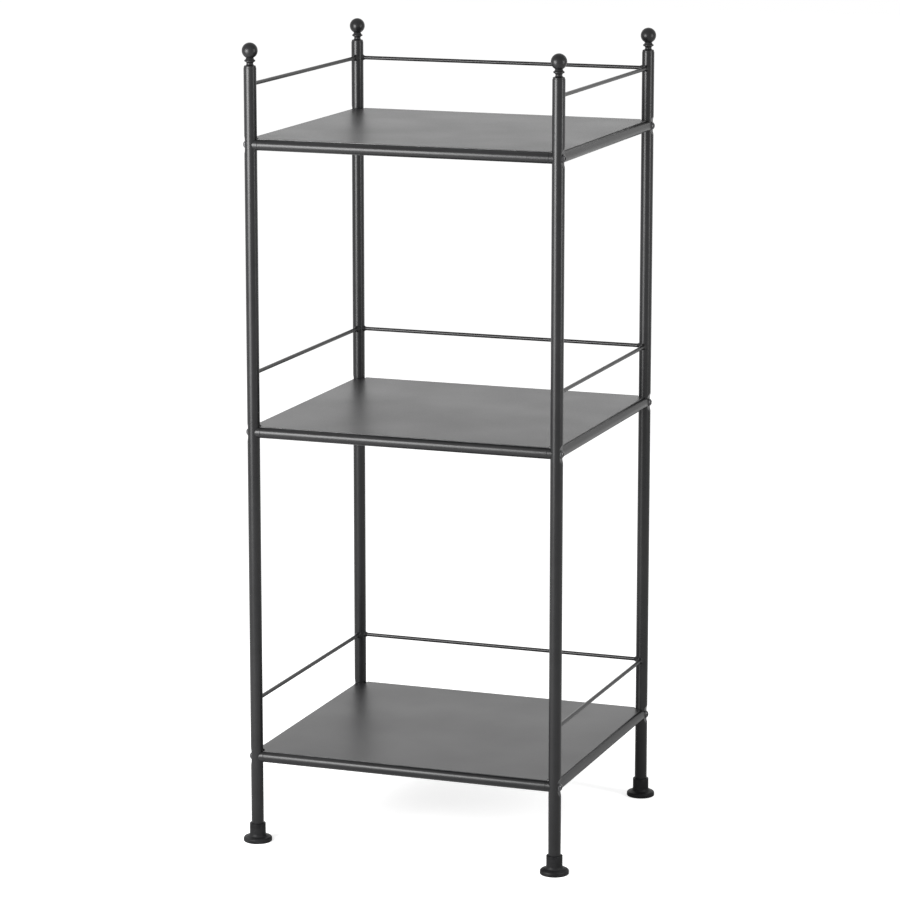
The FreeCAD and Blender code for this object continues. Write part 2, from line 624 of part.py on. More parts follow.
def build():
    """Make every sub-part of the shelf."""
    for corner, side_x, side_y in CORNERS:
        post(corner, side_x, side_y)
        finial(corner, side_x, side_y)
        foot(corner, side_x, side_y)
        foot_stud(corner, side_x, side_y)
        foot_insert(corner, side_x, side_y)
    for level in LEVELS:
        for end, side_y in (("front", -1), ("back", 1)):
            cross_tube(level, end, side_y)
            saddles(level, end, side_y)
        side_tubes(level)
        for side, side_x in (("left", -1), ("right", 1)):
            rail("%s_%s_rail" % (level, side), level, "post_spacing_y", ALONG_Y, "XZ_Plane",
                 x="post_x", y="post_y", side_x=side_x, side_y=-1)
        rail(level + "_back_rail", level, "post_spacing_x", ALONG_X, "YZ_Plane",
             x="post_x", y="post_y", side_x=-1)
        shelf_plate(level)
        bolts(level)


def check_and_export():
    """Stop on any failed object, then write one STEP file for each sub-part."""
    doc.recompute()
    failed = [item.Name for item in doc.Objects if {"Invalid", "Error"} & set(item.State)]
    for node in nodes:
        if node.Shape.isNull() or not node.Shape.isValid() or not node.Shape.Solids:
            failed.append(node.Label)
    if failed:
        raise RuntimeError("failed objects: " + ", ".join(sorted(set(failed))))
    os.makedirs("parts", exist_ok=True)
    for node in nodes:
        node.Shape.exportStep(os.path.join("parts", node.Label + ".step"))
        print("%-28s %2d solids %10.1f mm3" % (node.Label, len(node.Shape.Solids), node.Shape.Volume))
    print(len(nodes), "sub-parts")


build()
check_and_export()
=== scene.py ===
"""Looks of a three-tier standing shelf: its pieces, its finishes and its studio.

The pieces are surfaces worked out as whole arrays. The packed frame is loaded first and gives every
place. Lengths are metres, +Z is up and the open front faces -Y.
"""
import math

import bpy
import numpy as np
from mathutils import Matrix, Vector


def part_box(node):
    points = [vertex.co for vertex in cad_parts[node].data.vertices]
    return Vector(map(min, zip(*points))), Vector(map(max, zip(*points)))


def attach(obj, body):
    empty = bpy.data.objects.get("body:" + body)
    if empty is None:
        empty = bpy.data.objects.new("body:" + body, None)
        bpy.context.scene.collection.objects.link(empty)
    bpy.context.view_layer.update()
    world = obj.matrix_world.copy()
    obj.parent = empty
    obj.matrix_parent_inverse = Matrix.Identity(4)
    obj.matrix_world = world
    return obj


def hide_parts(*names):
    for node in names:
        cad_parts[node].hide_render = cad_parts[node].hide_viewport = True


bl_info = {
    "name": "Standing Shelf",
    "version": (1, 0, 0),
    "blender": (4, 5, 0),
    "location": "3D View > Sidebar > Shelf",
    "description": "Makes the pieces, finishes and studio of a three-tier standing shelf",
    "category": "Object",
}

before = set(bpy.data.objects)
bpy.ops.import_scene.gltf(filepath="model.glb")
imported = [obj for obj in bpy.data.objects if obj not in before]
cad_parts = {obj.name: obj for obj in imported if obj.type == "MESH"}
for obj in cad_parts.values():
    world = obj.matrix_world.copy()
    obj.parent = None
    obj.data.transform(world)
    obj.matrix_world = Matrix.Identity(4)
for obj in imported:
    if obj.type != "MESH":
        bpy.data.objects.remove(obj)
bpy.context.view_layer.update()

LEVELS = ("bottom", "middle", "top")
# Corner name, side along X and side along Y
CORNERS = (("front_left", -1, -1), ("front_right", 1, -1),
           ("back_left", -1, 1), ("back_right", 1, 1))
FULL_TURN = 2 * math.pi
# Edges that turn by more than this stay sharp
SHARP_TURN = math.radians(38)
# Turn of a profile from which its edge counts as fully worn
WORN_TURN = math.radians(30)
# Seed of the bolts' turns
TURN_SEED = 7
# Profile points closer than this are one
SAME_POINT = 1e-7
# How worn the edges of each kind of piece are
SEAT_WEAR, FINIAL_WEAR, FOOT_WEAR, FLARE_WEAR, PLATE_WEAR = 0.5, 0.6, 0.7, 0.5, 0.8

# Noises of the finishes: features a metre, detail and, where it isn't plain, roughness
BROAD_NOISE, CLOUD_NOISE, SPECK_NOISE = (9.0, 2.0), (70.0, 4.0, 0.6), (1400.0, 1.0)
# Detail and roughness of the grain's noise
GRAIN_DETAIL = (2.0, 0.45)
# Bumps: the cloud's depth in metres and the strengths of both
CLOUD_DEPTH, CLOUD_STRENGTH, GRAIN_STRENGTH = 0.00002, 0.25, 0.2
# Darkest and lightest shade of a tone, and how far its roughness goes down and up
SHADES, GLOSS_SPREAD = (0.86, 1.16), (-0.03, 0.035)
# Noise values between which the specks, the shade, the rubbed patches and the gloss come up
SPECKS, SHADING, PATCHES, GLOSSING = (0.70, 0.78), (0.8, 1.2), (0.45, 0.62), (0.7, 1.3)
# Share of dust in the specks and its shade, share of the rubbed tone, what rubbing does to gloss
DUST, DUST_SHADE, RUBBED_TONE, RUBBED_GLOSS = 0.10, 1.4, 0.75, -0.08
# Rubbed share of a plating, which has no worn edges
PLATED_WEAR = 0.35
# Orange peel of the paint and texture of the moulded plastic, and the bump's depth in metres
PEEL = {"grain": 950.0, "grain_depth": 0.00002}
MOULDING = {"grain": 1500.0, "grain_depth": 0.00002}
# Floor: its noise, the shares that this is mapped to, its darker shade and its roughness
FLOOR_NOISE, FLOOR_GRAIN = (6.0, 2.0), (0.3, 0.7, 0.99, 1.0)
FLOOR_SHADE, FLOOR_ROUGHNESS = 0.98, 0.9
# Camera's sensor in millimetres, and the distances between which it sees
SENSOR, CLIP = 36.0, (0.05, 100.0)

# Lamp, degrees round from the front, distance, height of its middle, width, height and watts
LAMPS = (("key_lamp", -27, 1.6, 1.00, 0.85, 0.70, 45),
         ("low_key_lamp", -27, 1.6, 0.44, 0.85, 0.42, 11),
         ("fill_lamp", 84, 1.7, 0.95, 0.3, 1.0, 13),
         ("back_lamp", 200, 3.6, 1.15, 3.2, 1.3, 6.5))


# Sizes and colours

def length(name, description, default):
    """A length in metres that a user can change."""
    return bpy.props.FloatProperty(name=name, description=description, default=default,
                                   min=0.0, precision=4, unit="LENGTH", subtype="DISTANCE")


def share(name, description, default, highest=1.0):
    """A plain number that a user can change."""
    return bpy.props.FloatProperty(name=name, description=description, default=default,
                                   min=0.0, max=highest, precision=3)


def colour(name, description, default):
    """A colour that a user can change."""
    return bpy.props.FloatVectorProperty(name=name, description=description, default=default,
                                         size=4, min=0.0, max=1.0, subtype="COLOR")


def angle(name, description, degrees):
    """An angle that a user can change."""
    return bpy.props.FloatProperty(name=name, description=description,
                                   default=math.radians(degrees), unit="ROTATION", subtype="ANGLE")


def slide(name, description, default):
    """A move in metres, to either side, that a user can change."""
    return bpy.props.FloatProperty(name=name, description=description, default=default,
                                   unit="LENGTH", precision=5)


class PostSizes(bpy.types.PropertyGroup):
    """Sizes of the posts and of the bolt seats pressed into them."""
    diameter: length("Diameter", "Outside diameter of a post", 0.016)
    wall: length("Wall", "Wall of a post", 0.0012)
    edge: length("Edge", "Rounding of a post's ends", 0.0003)
    press_depth: length("Seat depth", "Depth of the pressed bolt seat", 0.0022)
    press_flat: length("Seat half height", "Half height of the flat seat", 0.0065)
    press_reach: length("Seat reach", "Half height of the whole hollow", 0.014)
    press_lead: length("Seat lead", "How far outside the post the hollow's curve runs out", 0.00025)
    press_soft: length("Seat edge", "Softness of the hollow's edges", 0.0005)
    ring_reach: length("Ring reach", "How far from a bolt the close rings go", 0.016)


class TubeSizes(bpy.types.PropertyGroup):
    """Sizes of the shelf tubes, their saddles and the bolts."""
    diameter: length("Diameter", "Outside diameter of a shelf tube", 0.014)
    wall: length("Wall", "Wall of a shelf tube", 0.0012)
    edge: length("Edge", "Rounding of the tube ends and saddles", 0.0003)
    straight: length("Straight run", "Where a side tube's long straight run starts", 0.020)
    saddle_end: length("Saddle", "End of a front or back tube from the post axis", 0.0108)
    spigot: length("Spigot", "Saddle spigot inside the tube", 0.020)
    fit: length("Fit", "Radial gap of spigot and bolt", 0.00005)
    relief: length("Relief", "Gap between a saddle and the side tube beside it", 0.0002)
    head_room: length("Head room", "Room round a bolt head in a side tube's end", 0.0006)
    bolt_diameter: length("Bolt", "Diameter of a bolt", 0.00598)
    bolt_length: length("Bolt length", "Bolt below its head", 0.032)
    bolt_bevel: length("Bolt bevel", "Bevel at a bolt's tip", 0.0008)
    head_diameter: length("Bolt head", "Diameter of a bolt head", 0.0105)
    head_rise: length("Head rise", "Height of a bolt head", 0.0033)
    head_rim: length("Head rim", "Straight rim under the dome", 0.0006)
    head_edge: length("Head edge", "Bevels of a bolt head", 0.0002)
    crown_diameter: length("Crown", "Flat on top of the dome", 0.0060)
    socket_corners: length("Socket", "Hexagon socket across its corners", 0.0046)
    socket_depth: length("Socket depth", "Depth of the hexagon socket", 0.0021)
    socket_lip: length("Socket lip", "Bevel round the hexagon socket", 0.00025)


class RailSizes(bpy.types.PropertyGroup):
    """Sizes of the gallery rails."""
    diameter: length("Diameter", "Diameter of a rail", 0.005)
    collar: length("Collar", "Diameter of the flared end at the post", 0.0088)
    collar_length: length("Collar length", "Length of the flare outside the post", 0.004)
    collar_sweep: length("Collar sweep", "Radius of the flare's hollow curve", 0.005)
    pin: length("Pin", "Diameter of the pin at a rail's end", 0.004)
    pin_end: length("Pin end", "Tip of the pin from the post axis", 0.005)


class PlateSizes(bpy.types.PropertyGroup):
    """Sizes of the shelf plates."""
    thickness: length("Sheet", "Thickness of a plate", 0.001)
    notch: length("Notch", "Radius of the corner notches round the post axes", 0.0100)
    edge: length("Edge", "Rounding of the upper edge", 0.0005)
    under_edge: length("Under edge", "Bevel of the lower edge", 0.00015)
    rim: length("Rim", "Width of the rings at the plate's edge", 0.0007)


class FinialSizes(bpy.types.PropertyGroup):
    """Sizes of the ball finials, with heights above the post's end."""
    ball: length("Ball", "Diameter of the ball", 0.020)
    ball_height: length("Ball height", "Height of the ball's centre", 0.021)
    foot: length("Foot", "Diameter of the finial's foot", 0.015)
    foot_edge: length("Foot edge", "Straight edge of the foot", 0.0013)
    foot_round: length("Foot rounding", "Rounding above that edge", 0.0012)
    neck: length("Neck", "Diameter of the lower neck", 0.0084)
    neck_height: length("Neck height", "Height of the lower neck", 0.0047)
    neck_sweep: length("Neck sweep", "Radius of the neck's hollow", 0.0026)
    bead: length("Bead", "Diameter of the bead under the ball", 0.014)
    bead_height: length("Bead height", "Height of the bead's middle", 0.0084)
    bead_half: length("Bead half", "Half thickness of the bead", 0.0013)
    throat: length("Throat", "Diameter between bead and ball", 0.0092)
    plug: length("Plug", "Plug inside the post", 0.014)
    plug_gap: length("Plug gap", "Radial gap of the plug", 0.0003)
    plug_bevel: length("Plug bevel", "Bevel at the plug's tip", 0.001)


class FootSizes(bpy.types.PropertyGroup):
    """Sizes of the levelling feet."""
    flange: length("Flange", "Diameter of the flange", 0.0368)
    bevel: length("Bevel", "Bevel under the flange and on the sleeve", 0.0006)
    edge_top: length("Edge", "Top of the flange's straight edge", 0.0036)
    shoulder: length("Shoulder", "Top of the rounded edge", 0.0062)
    shoulder_in: length("Shoulder inset", "How far the rounded edge comes in", 0.0028)
    root: length("Root", "Sleeve diameter where it leaves the flange", 0.0236)
    root_height: length("Root height", "Height where the sleeve leaves the flange", 0.0076)
    root_sweep: length("Root sweep", "Radius of the hollow over the flange", 0.02)
    sleeve: length("Sleeve", "Diameter of the sleeve", 0.0208)
    sleeve_sweep: length("Sleeve sweep", "Radius of the hollow under the sleeve", 0.006)
    waist: length("Waist", "Height where the sleeve turns straight", 0.011)
    height: length("Height", "Top of the sleeve", 0.024)
    bore: length("Bore", "Diameter of the sleeve's socket", 0.0166)
    socket_floor: length("Socket floor", "Floor of the socket", 0.008)
    stud: length("Stud", "Diameter of the stud's hole", 0.008)
    stud_foot: length("Stud foot", "Lower end of the stud's hole", 0.003)


class Finishes(bpy.types.PropertyGroup):
    """Colours and gloss of the shelf's finishes."""
    paint: colour("Paint", "Powder coat of the steel", (0.0095, 0.0095, 0.0100, 1.0))
    paint_worn: colour("Worn paint", "Powder coat where it is rubbed", (0.036, 0.036, 0.037, 1.0))
    paint_gloss: share("Paint roughness", "Roughness of the powder coat", 0.30)
    plate_gloss: share("Plate roughness", "Roughness of the coat on the flat plates", 0.38)
    plastic: colour("Plastic", "Moulded plastic of finials and feet", (0.008, 0.008, 0.0085, 1.0))
    plastic_worn: colour("Worn plastic", "Plastic where it is rubbed", (0.035, 0.035, 0.036, 1.0))
    plastic_gloss: share("Plastic roughness", "Roughness of the plastic", 0.34)
    foot_gloss: share("Foot roughness", "Roughness of the feet", 0.46)
    bolt: colour("Bolts", "Black oxide of the bolts", (0.020, 0.020, 0.022, 1.0))
    bolt_worn: colour("Worn bolts", "Bolt edges rubbed by the key", (0.16, 0.16, 0.165, 1.0))
    bolt_gloss: share("Bolt roughness", "Roughness of the bolts", 0.22)
    zinc: colour("Zinc", "Plated studs and inserts", (0.52, 0.53, 0.55, 1.0))
    zinc_worn: colour("Dull zinc", "Dulled plating", (0.34, 0.35, 0.37, 1.0))
    zinc_gloss: share("Zinc roughness", "Roughness of the plating", 0.34)


class StudioLook(bpy.types.PropertyGroup):
    """Camera, floor and backdrop."""
    azimuth: angle("Azimuth", "Camera round the shelf from its front, towards its right", 20.11)
    elevation: angle("Elevation", "Camera above the horizon", 11.52)
    distance: length("Distance", "Camera from the aim", 4.8991)
    aim_height: length("Aim height", "Height that the camera is levelled at", 0.515)
    slide_right: slide("Slide right", "Camera moved to its right", -0.00403)
    slide_up: slide("Slide up", "Camera moved up its own axis", -0.02048)
    lens: share("Lens", "Focal length in millimetres on a 36 mm sensor", 151.68, 1000.0)
    floor: colour("Floor", "Pale floor", (0.80, 0.80, 0.80, 1.0))
    floor_half: length("Floor half width", "Half the floor's width", 12.0)
    floor_drop: length("Floor drop", "How far the floor lies below the feet", 0.0002)
    floor_glow: share("Floor glow", "Glow of the floor where it is seen", 0.68)
    # Painted shade: gloss sees only this share of the floor's glow near the shelf, standing in for
    # the shade under it
    painted_shade_glow: share("Near glow", "Share of the glow that gloss sees near the shelf", 0.1)
    near: length("Near", "Distance from the middle up to which that share holds", 0.35)
    far: length("Far", "Distance from which gloss sees the whole glow", 2.2)
    backdrop: share("Backdrop", "Strength of the white backdrop", 1.0, 10.0)
    room: share("Room", "Strength of the backdrop as light on the shelf", 0.45)


# Shapes, worked out as arrays

def ring_angles(count):
    """Evenly spaced angles round a full turn."""
    return np.linspace(0.0, FULL_TURN, count, endpoint=False)


def arc_points(start, end, radius, bulge, steps):
    """Points of the arc of that radius from start to end.

    The centre lies on the chord's perpendicular bisector, on the left of travel for a bulge to the
    right (+1) and on the right for a bulge to the left (-1); the points are evenly spaced in angle.
    """
    start, end = np.array(start, float), np.array(end, float)
    chord = end - start
    left = np.array([-chord[1], chord[0]]) / np.hypot(*chord)
    rise = math.sqrt(max(radius ** 2 - (chord @ chord) / 4, 0.0))
    centre = (start + end) / 2 + left * rise * bulge
    first = math.atan2(*(start - centre)[::-1])
    turn = bulge * 2 * math.asin(min(1.0, np.hypot(*chord) / (2 * radius)))
    angles = first + np.linspace(0.0, turn, steps + 1)
    return centre + radius * np.stack([np.cos(angles), np.sin(angles)], -1)


def profile_of(*parts):
    """One profile from its parts in order, without repeated points.

    A part is a point, an array of points, or an arc from the last point: the arc's end and then
    its radius, bulge and steps.
    """
    rows, last = [], None
    for part in parts:
        part = np.atleast_2d(np.array(part, float))
        if part.shape[1] == 2:
            last = part[-1]
        else:
            start, last, (radius, bulge, steps) = last, part[0, :2], part[0, 2:]
            part = arc_points(start, last, radius, bulge, int(steps))
        rows.append(part)
    rows = np.vstack(rows)
    keep = np.ones(len(rows), bool)
    keep[1:] = np.hypot(*(rows[1:] - rows[:-1]).T) > SAME_POINT
    return rows[keep]


def polar(radius, turn, height):
    """Points round Z: the radius times the turn's cosine, the same with its sine, the height."""
    return np.stack(np.broadcast_arrays(radius * np.cos(turn), radius * np.sin(turn), height), -1)


def turned(profile, count):
    """Rings of a turned surface: each profile point (radius, height) carried round the Z axis."""
    return polar(profile[:, :1], ring_angles(count), profile[:, 1:])


def along(rings, axis):
    """Rings laid so that their own Z runs along the row's X or Y, by a cyclic swap of axes."""
    return np.roll(rings, {"x": 1, "y": -1}[axis], axis=-1)


def soft_least(first, second, width):
    """The smaller of two arrays, blended by a parabola where they are closer than the width."""
    mix = np.clip(0.5 + 0.5 * (second - first) / width, 0.0, 1.0)
    return second * (1 - mix) + first * mix - width * mix * (1 - mix)


def wear_of(profile):
    """Wear of each profile point: 1 at a sharp turn of the profile, 0 on its straight runs."""
    before = profile - np.roll(profile, 1, axis=0)
    after = np.roll(profile, -1, axis=0) - profile
    turn = np.abs(np.arctan2(before[:, 0] * after[:, 1] - before[:, 1] * after[:, 0],
                             (before * after).sum(-1)))
    return np.clip(turn / WORN_TURN, 0.0, 1.0)


def grid_faces(rows, count, loop):
    """Quads of a grid of rings, closed round each ring and, for a loop, from last to first."""
    row = np.arange(rows if loop else rows - 1)[:, None] * count
    col = np.arange(count)[None, :]
    after = (col + 1) % count
    row_after = (row + count) % (rows * count)
    return np.stack([row + col, row + after, row_after + after, row_after + col], -1).reshape(-1, 4)


def shell(rings, wear, loop=False):
    """Points, wear, quads and triangles of one closed surface.

    A loop of rings closes on itself. Otherwise the first and last rings shrink to one point each.
    """
    rings = np.asarray(rings, float)
    wear = np.broadcast_to(np.asarray(wear, float).reshape(len(rings), -1), rings.shape[:2])
    if loop:
        quads = grid_faces(*rings.shape[:2], True)
        return rings.reshape(-1, 3), wear.reshape(-1), quads, np.empty((0, 3), int)
    inner, rows, count = rings[1:-1], len(rings) - 2, rings.shape[1]
    points = np.vstack([inner.reshape(-1, 3), rings[0].mean(0), rings[-1].mean(0)])
    amount = np.concatenate([wear[1:-1].reshape(-1), [0.0, 0.0]])
    col = np.arange(count)
    after = (col + 1) % count
    first, last = rows * count, rows * count + 1
    low = np.stack([np.full(count, first), after, col], -1)
    top = (rows - 1) * count
    high = np.stack([top + col, top + after, np.full(count, last)], -1)
    return points, amount, grid_faces(rows, count, False), np.vstack([low, high])


def add_object(name, data):
    """A new object in the scene."""
    made = bpy.data.objects.new(name, data)
    bpy.context.scene.collection.objects.link(made)
    return made


def make_piece(name, shells, finish, nodes, body="frame"):
    """Put closed surfaces into one mesh, finish it, and let it stand for its CAD nodes."""
    points, amounts, faces, base = [], [], [], 0
    for spots, wear, quads, triangles in shells:
        points.append(spots)
        amounts.append(wear)
        faces += (quads + base).tolist() + (triangles + base).tolist()
        base += len(spots)
    mesh = bpy.data.meshes.new(name)
    mesh.from_pydata(np.vstack(points).tolist(), [], faces)
    layer = mesh.attributes.new("wear", "FLOAT", "POINT")
    layer.data.foreach_set("value", np.concatenate(amounts).astype(np.float32))
    mesh.polygons.foreach_set("use_smooth", np.ones(len(mesh.polygons), bool))
    mesh.set_sharp_from_angle(angle=SHARP_TURN)
    mesh.materials.append(bpy.data.materials[finish])
    mesh.update()
    piece = add_object(name, mesh)
    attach(piece, body)
    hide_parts(*nodes)


# Places from the frame

def middle(node):
    """Middle of a CAD node's box."""
    low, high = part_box(node)
    return np.array((low + high) / 2)


def post_axis(corner):
    """Place of a post's axis on the floor plan."""
    return middle(corner + "_post")[:2]


def tube_height(level):
    """Height of a shelf's tube axes."""
    return middle(level + "_front_tube")[2]


def cope(radius, sideways):
    """Distance from an axis to a circle round it, that far beside the axis: a half chord."""
    return np.sqrt(np.maximum(radius ** 2 - sideways ** 2, 0.0))


# Finishes

class Nodes:
    """Nodes of a material or a world, added step by step."""

    def __init__(self, owner):
        owner.use_nodes = True
        self.tree = owner.node_tree

    def own(self, kind):
        """The first node of a kind that the tree has already."""
        return next(n for n in self.tree.nodes if n.type == kind)

    def put(self, socket, value):
        """Link a value to a socket, or set it there."""
        if isinstance(value, bpy.types.NodeSocket):
            self.tree.links.new(value, socket)
        else:
            socket.default_value = value

    def node(self, kind, inputs=(), **settings):
        """Add a shader node with its settings and input values or links."""
        made = self.tree.nodes.new("ShaderNode" + kind)
        for key, value in settings.items():
            setattr(made, key, value)
        for socket, value in dict(inputs).items():
            self.put(made.inputs[socket], value)
        return made

    def spread(self, value, low, high, to_low=0.0, to_high=1.0):
        """Map a value's range to another, held at its ends."""
        ends = {"From Min": low, "From Max": high, "To Min": to_low, "To Max": to_high}
        return self.node("MapRange", {"Value": value, **ends}).outputs["Result"]

    def combine(self, operation, first, second):
        """What a math operation makes of two values."""
        return self.node("Math", {0: first, 1: second}, operation=operation).outputs[0]

    def times(self, first, second):
        """Product of two values."""
        return self.combine("MULTIPLY", first, second)

    def plus(self, first, second):
        """Sum of two values."""
        return self.combine("ADD", first, second)

    def seen(self, gloss=1.0):
        """1 for what the camera or glass sees, the given share for what gloss sees, else 0."""
        path = self.node("LightPath").outputs
        glossy = self.times(path["Is Glossy Ray"], gloss)
        straight = self.combine("MAXIMUM", path["Is Camera Ray"], glossy)
        return self.combine("MAXIMUM", straight, path["Is Transmission Ray"])


class Finish(Nodes):
    """A material about its own shader, with noise over the piece."""

    def __init__(self, name):
        self.material = bpy.data.materials.new(name)
        super().__init__(self.material)
        self.shader = self.own("BSDF_PRINCIPLED")
        self.place = self.node("TexCoord").outputs["Object"]

    def noise(self, scale, detail, roughness=0.5):
        """Noise over the piece, scale in features a metre."""
        inputs = {"Vector": self.place, "Scale": scale, "Detail": detail, "Roughness": roughness}
        return self.node("TexNoise", inputs).outputs["Fac"]

    def blend(self, amount, first, second):
        """Colour between two others."""
        inputs = {0: amount, 6: first, 7: second}
        return self.node("Mix", inputs, data_type="RGBA").outputs[2]

    def bump(self, height, depth, strength, below=None):
        """Bump from a height, its depth in metres."""
        inputs = {"Height": height, "Distance": depth, "Strength": strength}
        if below is not None:
            inputs["Normal"] = below
        return self.node("Bump", inputs).outputs["Normal"]

    def join(self, socket, value):
        """Link or set one of the shader's sockets."""
        self.put(self.shader.inputs[socket], value)


def darker(tone, factor):
    """A colour's shade, its opacity kept."""
    return (tone[0] * factor, tone[1] * factor, tone[2] * factor, 1.0)


def coated(name, tone, worn, gloss, grain, grain_depth, wear_attribute=True, metallic=0.0,
           specular=0.25):
    """A coated, moulded or plated finish.

    Broad noise varies the tone and the gloss, fine noise of the grain's size lifts the surface as
    orange peel or moulding texture, sparse specks catch dust, and the wear attribute times noise
    brings the rubbed tone to the edges.
    """
    finish = Finish(name)
    broad = finish.noise(*BROAD_NOISE)
    cloud = finish.noise(*CLOUD_NOISE)
    fine = finish.noise(grain, *GRAIN_DETAIL)
    speck = finish.spread(finish.noise(*SPECK_NOISE), *SPECKS)
    low_shade, high_shade = (darker(tone, factor) for factor in SHADES)
    shade = finish.blend(finish.spread(finish.plus(broad, cloud), *SHADING), low_shade, high_shade)
    dusty = finish.blend(finish.times(speck, DUST), shade, darker(worn, DUST_SHADE))
    patch = finish.spread(cloud, *PATCHES)
    if wear_attribute:
        edge = finish.node("Attribute", attribute_name="wear").outputs["Fac"]
        rubbed = finish.times(edge, patch)
    else:
        rubbed = finish.times(patch, PLATED_WEAR)
    finish.join("Base Color", finish.blend(finish.times(rubbed, RUBBED_TONE), dusty, tuple(worn)))
    down, up = GLOSS_SPREAD
    level = finish.spread(finish.plus(broad, fine), *GLOSSING, gloss + down, gloss + up)
    finish.join("Roughness", finish.plus(level, finish.times(rubbed, RUBBED_GLOSS)))
    coarse = finish.bump(cloud, CLOUD_DEPTH, CLOUD_STRENGTH)
    finish.join("Normal", finish.bump(fine, grain_depth, GRAIN_STRENGTH, coarse))
    finish.join("Metallic", metallic)
    finish.join("Specular IOR Level", specular)


class SHELF_OT_finishes(bpy.types.Operator):
    """Make the powder coat, the moulded plastic, the black oxide and the zinc plating"""
    bl_idname = "shelf.finishes"
    bl_label = "Finishes"

    def execute(self, context):
        look = context.scene.shelf_finishes
        paint, plastic = (look.paint, look.paint_worn), (look.plastic, look.plastic_worn)
        coated("powder_coat", *paint, look.paint_gloss, **PEEL)
        coated("plate_coat", *paint, look.plate_gloss, **PEEL, specular=0.4)
        coated("moulded_plastic", *plastic, look.plastic_gloss, **MOULDING)
        coated("foot_plastic", *plastic, look.foot_gloss, **MOULDING, specular=0.1)
        coated("black_oxide", look.bolt, look.bolt_worn, look.bolt_gloss, grain=2200.0,
               grain_depth=0.00001, specular=0.5)
        coated("zinc_plating", look.zinc, look.zinc_worn, look.zinc_gloss, grain=1800.0,
               grain_depth=0.00001, wear_attribute=False, metallic=1.0)
        return {"FINISHED"}


# Pieces

class SHELF_OT_posts(bpy.types.Operator):
    """Make the four posts with their pressed bolt seats"""
    bl_idname = "shelf.posts"
    bl_label = "Posts"

    @staticmethod
    def seat_curve(distance, sizes, inset):
        """Outward reach of the pressed wall at a distance above or below a bolt.

        Flat across the seat, then an arc that leaves it and an arc that meets the post, each
        tangent to the next. The bore's curve is the same, one wall inside: inset is 0 or the wall.
        """
        radius = sizes.diameter / 2
        face = radius - sizes.press_depth - inset
        rim = radius + sizes.press_lead - inset
        run = sizes.press_reach - sizes.press_flat
        drop = sizes.press_depth + sizes.press_lead
        bend = (run ** 2 + drop ** 2) / (4 * drop)
        turn = sizes.press_flat + run / 2 + inset * run / (2 * bend)
        away = np.abs(distance)
        low = face + bend + inset - cope(bend + inset, np.maximum(away - sizes.press_flat, 0.0))
        high = rim - bend + inset + cope(bend - inset, sizes.press_reach - away)
        return np.where(away > sizes.press_reach, rim, np.where(away < turn, low, high))

    def rings(self, corner, side, sizes, count=96):
        """Rings of a post: up its skin, over the rim, down its bore and back under.

        Each point lies on the circle of its ring; on the outer side its outward reach is held
        softly below the seat curve.
        """
        low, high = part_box(corner + "_post")
        bolts = np.array([tube_height(level) for level in LEVELS])
        steps = np.linspace(-sizes.ring_reach, sizes.ring_reach, 33)
        heights = np.sort(np.concatenate([(bolts[:, None] + steps).ravel(),
                                          low[2] + sizes.edge * np.array([1, 2]),
                                          high[2] - sizes.edge * np.array([1, 2])]))
        radius, edge = sizes.diameter / 2, sizes.edge
        bore = radius - sizes.wall
        skin = np.stack([np.full(len(heights), radius), heights], -1)
        hollow = np.stack([np.full(len(heights), bore), heights[::-1]], -1)
        outline = profile_of(skin, (radius - edge, high[2], edge, 1, 3), (bore, high[2]), hollow,
                             (bore, low[2]), (radius - edge, low[2]),
                             (radius, low[2] + edge, edge, 1, 3))[:-1]
        rings = turned(outline, count)
        inside = (outline[:, 0] < radius - sizes.wall / 2)[:, None]
        gap = outline[:, 1:2] - bolts[np.abs(outline[:, 1:2] - bolts).argmin(1)][:, None]
        reach = np.where(inside, self.seat_curve(gap, sizes, sizes.wall),
                         self.seat_curve(gap, sizes, 0.0))
        rings[..., 0] = side * soft_least(side * rings[..., 0], reach, sizes.press_soft)
        away = np.abs(side * rings[..., 0] - reach)
        seat_edge = np.clip(1 - away / sizes.press_soft, 0, 1) * (np.abs(gap) < sizes.press_reach)
        rim = wear_of(outline)[:, None] * np.ones(count)
        beside = np.abs(rings[..., 1]) > 0.6 * radius
        rings[..., :2] += post_axis(corner)
        return rings, np.maximum(rim, SEAT_WEAR * seat_edge * beside)

    def execute(self, context):
        sizes = context.scene.shelf_posts
        for corner, side, _ in CORNERS:
            rings, wear = self.rings(corner, side, sizes)
            make_piece("pressed_post_" + corner, [shell(rings, wear, loop=True)],
                       "powder_coat", [corner + "_post"])
        return {"FINISHED"}


